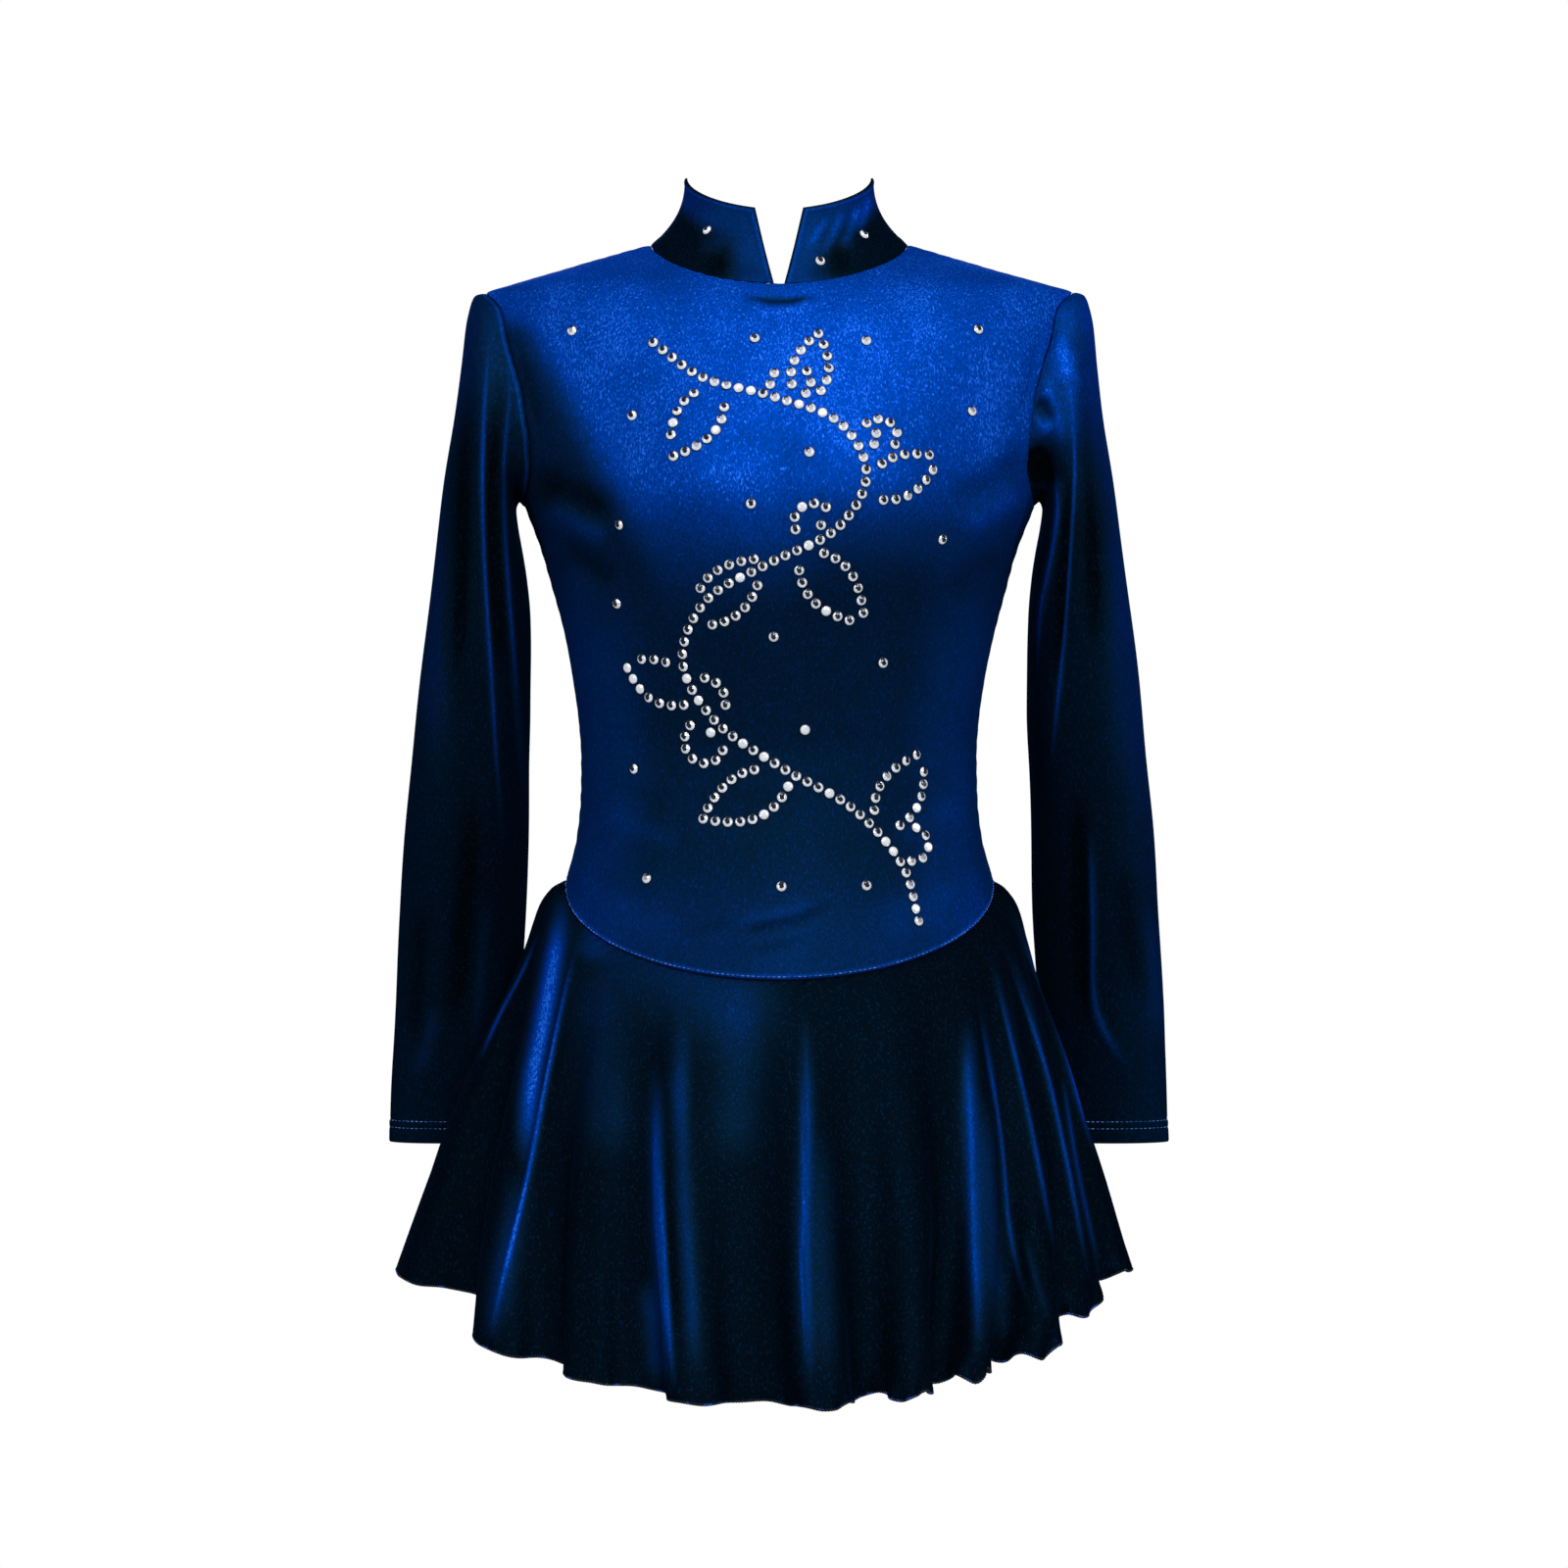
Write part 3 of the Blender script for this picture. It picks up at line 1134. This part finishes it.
def sleeve(side):
    name = "sleeve_left" if side > 0 else "sleeve_right"
    rings = LAST_RING * spaced(*SLEEVE_LENGTH)
    front = np.linspace(0, HALF, SLEEVE_COLUMNS["front"] + 1)[:-1]
    back = np.linspace(HALF, 2 * HALF, SLEEVE_COLUMNS["back"] + 1)[:-1]
    turns = np.concatenate([front, back])
    ring, turn = np.meshgrid(rings, turns, indexing="ij")
    base = sleeve_point(turn, ring)
    middle = base.mean(1, keepdims=True)
    normals = grid_normals(base, True, middle)
    seam = torso_outward(*armhole_around(turn))
    normals = unit(mix(seam, normals, smooth(ring, 0, 0.5)[..., None]))
    base[..., 0] += SEAM_GAP * 1.5 * (1 - smooth(ring, 0, 0.2))
    base *= [side, 1, 1]
    normals *= [side, 1, 1]
    to_head, to_cuff = run_lengths(base, 0)
    round_run = run_lengths(base, 1)[0]
    hem = smooth(-to_cuff, *CUFF_HEM_ENDS)
    stitch_groove = -CUFF_GROOVE * sum(bump(to_cuff - place, 0.8) for place in CUFF_STITCHES)
    folds = drawn(FOLDS, name, base, normals)
    relief = (
        seam_turn(to_head)
        + puckers(round_run, to_head, 9, 0.35, side)
        + folds
        + unevenness(base, 0.8, 1.3 * side)
        + CUFF_HEM * hem + stitch_groove
        + puckers(round_run, to_cuff - 12, 7, 0.22, 2 + side)
        - 0.5 * bump(to_cuff, 0.7)
    )
    outer = base + normals * relief[..., None]
    shares = SLEEVE_NAP[name]
    head = smooth(base[..., 2], -190, -50) * shares["head"]
    outer_side = smooth((1 + np.cos(turn)) / 2, 0.45, 0.95) * shares["outer_side"]
    seam_line = bump(to_head - 1.8, 0.9) * shares["seam"]
    nap = shares["all"] + head + outer_side + seam_line
    nap = brushed(name, nap, folds, base, normals)
    return cloth_shell(name, outer, normals, True, CLOTH * (1 + 0.75 * hem), nap)


def collar(side):
    name = "collar_left" if side > 0 else "collar_right"
    up, share = np.meshgrid(spaced(*COLLAR_HEIGHT), spaced(*COLLAR_WIDTH), indexing="ij")
    turn = collar_turn(share, up)
    base = collar_point(turn, up) * [side, 1, 1]
    normals = grid_normals(base, False, base * [0, 0, 1])
    to_seam, to_rim = run_lengths(base, 0)
    to_front, to_back = run_lengths(base, 1)
    to_edge = np.minimum(to_rim, np.minimum(to_front, to_back))
    folds = drawn(FOLDS, name, base, normals)
    relief = (
        seam_turn(to_seam, 0.3)
        + 0.3 * smooth(-to_edge, -4.6, -3.0) - 0.7 * bump(to_edge, 0.9)
        + puckers(to_front, to_seam, 9, 0.22, 1 + side)
        + folds
        + unevenness(base, 0.45, 3 + side)
    )
    outer = base + normals * relief[..., None]
    shade = smooth(0.62 - up, -0.12, 0.16) * smooth(share, 0.05, 0.16)
    edge_line = COLLAR_NAP["edge"] * bump(to_edge - 2.4, 0.8) + COLLAR_NAP["rim"] * bump(to_edge, 1.2)
    nap = COLLAR_NAP["all"] + COLLAR_NAP["shade"] * shade + edge_line
    nap = brushed(name, nap, folds, base, normals)
    return cloth_shell(name, outer, normals, False, CLOTH, nap)


def skirt(facing):
    is_front = facing > 0
    flutes = FRONT_FLUTES if is_front else BACK_FLUTES
    name = "skirt_front" if is_front else "skirt_back"
    places = (len(flutes) - 1) * spaced(*SKIRT_WIDTH[name])
    down, place = np.meshgrid(spaced(*SKIRT_LENGTH), places, indexing="ij")
    base = skirt_point(flutes, place, down)
    base[..., 1] -= facing * SKIRT_SIDE_GAP / 2
    to_waist, to_hem = run_lengths(base, 0)
    to_first, to_last = run_lengths(base, 1)
    to_side = np.minimum(to_first, to_last)
    sideways = point(np.sign(base[..., 0]), 0, 0)
    normals = grid_normals(base, False, base * [0, 0, 1])
    normals = unit(mix(sideways, normals, smooth(to_side, 0, SIDE_BLEND)[..., None]))
    hem_run = np.broadcast_to(to_first[-1], to_first.shape)
    lively = mix(0.18, 1.2, smooth(base[..., 0], -30, 90)) if is_front else 0.8
    curl = lively * bump(to_hem, HEM_CURL_REACH) * smooth(to_side, 0, 2 * SIDE_BLEND)
    wave = np.sin(hem_run / 17.5 * HALF + 2.2 * np.sin(hem_run / 67 + facing))
    wave = wave + 0.5 * np.sin(hem_run / 7.3 * HALF + 3 * np.sin(hem_run / 41))
    folds = drawn(FOLDS, name, base, normals)
    relief = (
        seam_turn(to_waist, 0.4) + seam_turn(to_side, 0.5)
        + puckers(to_first, to_waist, 8.5, 0.3, 2.1)
        + folds
        + unevenness(base, 1.0, 4 + facing)
        + HEM_CURL * curl * wave
    )
    outer = base + normals * relief[..., None]
    lift = np.sin(hem_run / 15.0 * HALF + 1.3 + 2 * np.sin(hem_run / 53))
    outer[..., 2] += HEM_CURL * curl * lift
    nap = brushed(name, np.full(base.shape[:2], SKIRT_NAP), folds, base, normals)
    return cloth_shell(name, outer, normals, False, CLOTH, nap)


# Each piece with its grid of outer points and their normals.
PIECES = {
    "bodice_front": bodice(1),
    "bodice_back": bodice(-1),
    "sleeve_left": sleeve(1),
    "sleeve_right": sleeve(-1),
    "collar_left": collar(1),
    "collar_right": collar(-1),
    "skirt_front": skirt(1),
    "skirt_back": skirt(-1),
}
for node, (piece, _, _) in PIECES.items():
    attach(piece, "root")
    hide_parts(node)


# --- Sewing ---------------------------------------------------------------------------------

STITCH = {"length": 2.3, "gap": 0.8, "radius": 0.26}
WAIST_STITCHES = 1.5
HEM_BEAD = {"radius": 0.8, "wrap": 0.16, "pitch": 1.7, "sides": 6, "step": 0.5}
SIDE_SEAM_DEPTH = 1.1


def line_inside(grid, normals, distance, from_end=False):
    """The line of points on a grid that lies a distance in from its first row, or from its last
    one, with its normals."""
    run = run_lengths(grid, 0)[1 if from_end else 0]
    points, outward = [], []
    for column in range(grid.shape[1]):
        order = slice(None, None, -1) if from_end else slice(None)
        along = run[order, column]
        points.append([np.interp(distance, along, grid[order, column, k]) for k in range(3)])
        outward.append([np.interp(distance, along, normals[order, column, k]) for k in range(3)])
    return np.array(points), unit(np.array(outward))


def resampled(line, places, values=None):
    """A line's points, or other values along it, at some distances from its start."""
    steps = np.linalg.norm(np.diff(line, axis=0), axis=1)
    run = np.insert(np.cumsum(steps), 0, 0)
    values = line if values is None else values
    return np.stack([np.interp(places, run, values[:, k]) for k in range(values.shape[1])], -1)


def line_length(line):
    return np.linalg.norm(np.diff(line, axis=0), axis=1).sum()


def tube_faces(count, sides):
    """Faces of a tube of count rings, its end rings closed by one face each."""
    faces = []
    for i in range(count - 1):
        for k in range(sides):
            a, b = i * sides + k, i * sides + (k + 1) % sides
            faces.append((a, b, b + sides, a + sides))
    return faces + [tuple(reversed(range(sides))), tuple(range((count - 1) * sides, count * sides))]


def tube_points(line, outward, radii, sides):
    """Rings of points round a line, one radius for each of its points."""
    along = unit(np.gradient(line, axis=0))
    across = unit(np.cross(along, outward))
    up = np.cross(across, along)
    turns = np.arange(sides) / sides * 2 * HALF
    ring = np.cos(turns)[:, None] * across[:, None] + np.sin(turns)[:, None] * up[:, None]
    return (line[:, None] + ring * np.asarray(radii)[:, None, None]).reshape(-1, 3)


def join_parts(parts):
    """Many (points, faces) as one."""
    points, faces, done = [], [], 0
    for some_points, some_faces in parts:
        points.append(some_points)
        faces += [tuple(i + done for i in face) for face in some_faces]
        done += len(some_points)
    return np.vstack(points), faces


def stitches(line, outward):
    """A row of sewn stitches that dip into the cloth at both ends."""
    pitch = STITCH["length"] + STITCH["gap"]
    shares = np.array([0, 0.22, 0.5, 0.78, 1])
    lift = np.array([-0.25, 0.1, 0.2, 0.1, -0.25])
    radii = STITCH["radius"] * np.array([0.5, 0.95, 1, 0.95, 0.5])
    faces = tube_faces(len(shares), 4)
    parts = []
    for start in np.arange(pitch, line_length(line) - pitch, pitch):
        places = start + shares * STITCH["length"]
        up = unit(resampled(line, places, outward))
        points = resampled(line, places) + up * lift[:, None]
        parts.append((tube_points(points, up, radii, 4), faces))
    return parts


def hem_bead(line, outward):
    """The overlocked edge of a skirt: a bead of thread wrapped round the hem."""
    count = int(line_length(line) / HEM_BEAD["step"])
    places = np.linspace(0, line_length(line), count)
    points = resampled(line, places)
    up = unit(resampled(line, places, outward))
    wraps = np.sin(places / HEM_BEAD["pitch"] * 2 * HALF)
    radii = HEM_BEAD["radius"] + HEM_BEAD["wrap"] * wraps
    sides = HEM_BEAD["sides"]
    return [(tube_points(points, up, radii, sides), tube_faces(count, sides))]


def add_thread(name, parts, material):
    made = add_mesh("thread_" + name, *join_parts(parts), [material])
    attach(made, "root")
    return made


def cuff_stitches(name):
    _, grid, normals = PIECES[name]
    parts = []
    for distance in CUFF_STITCHES:
        line, outward = line_inside(grid, normals, distance, from_end=True)
        line, outward = np.vstack([line, line[:1]]), np.vstack([outward, outward[:1]])
        parts += stitches(line, outward)
    return add_thread(name, parts, seam_thread)


def waist_stitches(name):
    _, grid, normals = PIECES[name]
    return add_thread(name, stitches(*line_inside(grid, normals, WAIST_STITCHES)), seam_thread)


def skirt_hem(name):
    """A skirt panel's overlocked hem and, with the front one, the overlocked side seams behind
    the cloth."""
    _, grid, normals = PIECES[name]
    parts = hem_bead(grid[-1] - normals[-1] * CLOTH / 2, normals[-1])
    if name == "skirt_front":
        for column in (0, -1):
            line, outward = grid[:, column], normals[:, column]
            parts += hem_bead(line - outward * SIDE_SEAM_DEPTH, outward)
    return add_thread(name, parts, hem_thread)


SEWING = {
    "bodice_front": waist_stitches,
    "bodice_back": waist_stitches,
    "sleeve_left": cuff_stitches,
    "sleeve_right": cuff_stitches,
    "skirt_front": skirt_hem,
    "skirt_back": skirt_hem,
}
THREADS = {name: sew(name) for name, sew in SEWING.items()}


# --- Rhinestones ----------------------------------------------------------------------------

# A made-up climbing vine: a stem from the left hip to the right shoulder, with outlined leaves
# and spiral tendrils. Lines are (x, z), headings are degrees up from +X.
STONE_PITCH = 7.5
STONE_ROOM = 6.7
STEM = [(84, -418), (74, -384), (44, -350), (2, -326), (-38, -298), (-58, -262), (-44, -226),
        (-6, -204), (34, -184), (52, -152), (36, -120), (-4, -104), (-46, -92), (-78, -68)]
LEAVES = [
    # x, z, heading, length, half width
    (60, -366, 62, 56, 13),
    (8, -330, 206, 60, 14),
    (-50, -286, 150, 50, 12),
    (-52, -240, 42, 58, 14),
    (12, -196, 312, 58, 14),
    (50, -164, 28, 52, 12),
    (14, -110, 78, 46, 11),
    (-34, -96, 236, 54, 13),
]
TENDRILS = [
    # x, z, heading, radius, turns, hand
    (74, -390, 160, 17, 1.3, -1),
    (-24, -308, 100, 19, 1.35, 1),
    (-52, -272, 20, 17, 1.3, -1),
    (34, -184, 80, 15, 1.2, 1),
    (-4, -104, 120, 15, 1.25, -1),
    (48, -134, 110, 14, 1.2, -1),
]
SINGLES = {
    "bodice": 18,
    "heights": (-418, -52),
    "width": 0.74,
    "room": 24,
    "apart": 46,
    "collar": [(-44, 4), (52, 2), (25, -17)],
}


def turned(points, heading):
    angle = math.radians(heading)
    x, z = points[:, 0], points[:, 1]
    return np.stack([x * math.cos(angle) - z * math.sin(angle),
                     x * math.sin(angle) + z * math.cos(angle)], -1)


def leaf(x, z, heading, length, half_width):
    share = np.linspace(0, 1, 40)
    side = half_width * np.sin(share * HALF) ** 0.85 * (1.15 - 0.3 * share)
    there = np.stack([share * length, side], -1)
    back = np.stack([share * length, -side], -1)[::-1]
    return turned(np.vstack([there, back[1:]]), heading) + [x, z]


def tendril(x, z, heading, radius, turns, hand):
    angle = np.linspace(0, turns * 2 * HALF, 90)
    reach = radius * (1 - 0.72 * angle / angle[-1])
    curl = np.stack([reach * np.sin(angle), hand * (radius - reach * np.cos(angle))], -1)
    return turned(curl, heading) + [x, z]


def stone_places():
    """Where the stones go, seen from the front: along the vine, then singles about it."""
    lines = [smooth_line(STEM)]
    lines += [leaf(*row) for row in LEAVES] + [tendril(*row) for row in TENDRILS]
    places = []
    for line in lines:
        for place in resampled(line, np.arange(0, line_length(line), STONE_PITCH)):
            if all(math.dist(place, other) >= STONE_ROOM for other in places):
                places.append(place)
    chance = random.Random(SEED)
    singles = []
    while len(singles) < SINGLES["bodice"]:
        z = chance.uniform(*SINGLES["heights"])
        reach = SINGLES["width"] * TORSO("half_width", z)
        place = (chance.uniform(-reach, reach), z)
        clear = all(math.dist(place, other) >= SINGLES["room"] for other in places)
        if clear and all(math.dist(place, other) >= SINGLES["apart"] for other in singles):
            singles.append(place)
    return places + singles


def surface_tree(name):
    """A piece's outer surface, to cast rays at."""
    _, grid, _ = PIECES[name]
    rows, columns = grid.shape[:2]
    r, c = np.meshgrid(np.arange(rows - 1), np.arange(columns - 1), indexing="ij")
    corner = r * columns + c
    quads = np.stack([corner, corner + 1, corner + 1 + columns, corner + columns], -1)
    return BVHTree.FromPolygons(grid.reshape(-1, 3).tolist(), quads.reshape(-1, 4).tolist())


# A rhinestone's rings from its foil edge to its table: radius and height. In each ring of cuts,
# the ones that mirror the dark of the room are at its top.
STONE_SIDES = 12
FOIL_RINGS = [(3.45, -0.3), (3.4, 0.3), (2.95, 0.5)]
CROWN_RINGS = [(2.95, 0.5), (2.25, 1.35), (1.45, 1.85)]
DARK_CUTS = {1: (2, 3), 2: (1, 2, 3, 4)}
LIT_STONES = 0.16


def stone_shape():
    """One stone standing on z = 0, its faces, and each face's material slot."""
    points, faces, slots = [], [], []
    turns = np.arange(STONE_SIDES) / STONE_SIDES * 2 * HALF

    def ring(radius, height, shift):
        start = len(points)
        around = turns + shift * HALF / STONE_SIDES
        points.extend(point(radius * np.cos(around), radius * np.sin(around), height))
        return [start + k for k in range(STONE_SIDES)]

    rings = [ring(radius, height, 0) for radius, height in FOIL_RINGS]
    for low, high in zip(rings, rings[1:]):
        for k in range(STONE_SIDES):
            after = (k + 1) % STONE_SIDES
            faces.append((low[k], low[after], high[after], high[k]))
            slots.append(1)
    faces.append(tuple(reversed(rings[0])))
    slots.append(1)
    low = rings[-1]
    for step, (radius, height) in enumerate(CROWN_RINGS[1:], 1):
        high = ring(radius, height, step)
        for k in range(STONE_SIDES):
            after = (k + 1) % STONE_SIDES
            faces.append((low[k], low[after], high[k]))
            faces.append((low[after], high[after], high[k]))
            slots += [2, 2] if k in DARK_CUTS[step] else [0, 0]
        low = high
    faces.append(tuple(low))
    slots.append(2)
    return np.array(points), faces, slots


def add_stones(name, seats):
    """Stones on their seats, (place, outward) pairs, each turned and tipped a little."""
    shape, shape_faces, shape_slots = stone_shape()
    chance = random.Random(SEED + len(seats))
    parts, slots = [], []
    for place, outward in seats:
        tip = Vector((chance.gauss(0, 0.05), chance.gauss(0, 0.05), chance.gauss(0, 0.05)))
        turn = (Vector(outward) + tip).to_track_quat("Z", "Y").to_matrix()
        spin = Matrix.Rotation(chance.uniform(-0.45, 0.45), 3, "Z")
        parts.append((shape @ np.array(turn @ spin).T + np.array(place), shape_faces))
        lit = chance.random() < LIT_STONES
        slots += [0 if lit and slot == 2 else slot for slot in shape_slots]
    materials = [crystal_material, foil_material, table_material]
    made = add_mesh(name, *join_parts(parts), materials, slots, smooth_shading=False)
    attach(made, "root")
    return made


def seat_on(tree, x, z):
    place, outward, _, _ = tree.ray_cast(Vector((x, -400, z)), Vector((0, 1, 0)))
    if outward.y > 0:
        outward = -outward
    return place, outward


def stones_on(node, name, places):
    tree = surface_tree(node)
    return add_stones(name, [seat_on(tree, x, z) for x, z in places])


STONES = {"bodice_front": stones_on("bodice_front", "stones_front", stone_places())}
for side, node in ((1, "collar_left"), (-1, "collar_right")):
    places = [(x, z) for x, z in SINGLES["collar"] if x * side > 0]
    STONES[node] = stones_on(node, "stones_" + node, places)


# --- The cut of each piece ------------------------------------------------------------------


# --- Camera, light and floor ----------------------------------------------------------------

FLOOR_HEIGHT = -1.3
FLOOR_REACH = 30

# Each light's name, place, target, size and watts.
LIGHTS = [
    ("key", (0.4, -2.3, 1.2), (0, 0, -0.2), (2.0, 1.1), 44),
    ("top", (0.1, -1.0, 2.1), (0, 0, -0.1), (1.4, 0.8), 14),
    ("fill_left", (-2.1, -1.5, 0.2), (0, 0, -0.4), (0.5, 1.6), 12),
    ("fill_right", (2.2, -1.2, 0.2), (0, 0, -0.4), (0.5, 1.6), 9),
    ("side_left", (-2.2, 1.1, 0.4), (0, 0, -0.35), (0.6, 1.6), 11),
    ("side_right", (2.2, 1.1, 0.4), (0, 0, -0.35), (0.6, 1.6), 11),
    ("back", (-0.4, 2.5, 1.0), (0, 0, -0.25), (1.8, 1.1), 38),
]


def add_camera():
    data = bpy.data.cameras.new("camera")
    data.lens = 85
    data.sensor_width = 36
    made = bpy.data.objects.new("camera", data)
    made.location = (EYE_ASIDE * MM, -EYE_DISTANCE * MM, EYE_HEIGHT * MM)
    made.rotation_euler = (QUARTER, 0, 0)
    bpy.context.scene.collection.objects.link(made)
    bpy.context.scene.camera = made


def add_light(name, place, target, size, power):
    data = bpy.data.lights.new(name, "AREA")
    data.shape = "RECTANGLE"
    data.size, data.size_y = size
    data.energy = power
    made = bpy.data.objects.new(name, data)
    made.location = place
    towards = Vector(target) - Vector(place)
    made.rotation_euler = towards.to_track_quat("-Z", "Y").to_euler()
    bpy.context.scene.collection.objects.link(made)


def show_instead(owner, lit, shown, output):
    """Lets the camera see one shader while another takes part in the light."""
    seen = add_node(owner, "ShaderNodeLightPath")
    choice = add_node(owner, "ShaderNodeMixShader")
    join(owner, seen.outputs["Is Camera Ray"], choice.inputs[0])
    join(owner, lit.outputs[0], choice.inputs[1])
    join(owner, shown.outputs[0], choice.inputs[2])
    join(owner, choice.outputs[0], owner.node_tree.nodes[output].inputs["Surface"])


def add_floor():
    material, shader = new_material("floor", Base_Color=(0.32, 0.32, 0.33, 1), Roughness=0.9)
    show_instead(material, shader, add_node(material, "ShaderNodeEmission"), "Material Output")
    mesh = bpy.data.meshes.new("floor")
    corners = [(x * FLOOR_REACH, y * FLOOR_REACH) for x, y in ((-1, -1), (1, -1), (1, 1), (-1, 1))]
    mesh.from_pydata([(x, y, FLOOR_HEIGHT) for x, y in corners], [], [(0, 1, 2, 3)])
    mesh.materials.append(material)
    made = bpy.data.objects.new("floor", mesh)
    bpy.context.scene.collection.objects.link(made)


def add_world():
    world = bpy.data.worlds.new("studio")
    bpy.context.scene.world = world
    world.use_nodes = True
    room = world.node_tree.nodes["Background"]
    room.inputs["Color"].default_value = (0.8, 0.88, 1, 1)
    room.inputs["Strength"].default_value = 0.06
    white = add_node(world, "ShaderNodeBackground", Color=(1, 1, 1, 1))
    show_instead(world, room, white, "World Output")


add_camera()
for light in LIGHTS:
    add_light(*light)
add_floor()
add_world()
bpy.context.scene.view_settings.view_transform = "Standard"
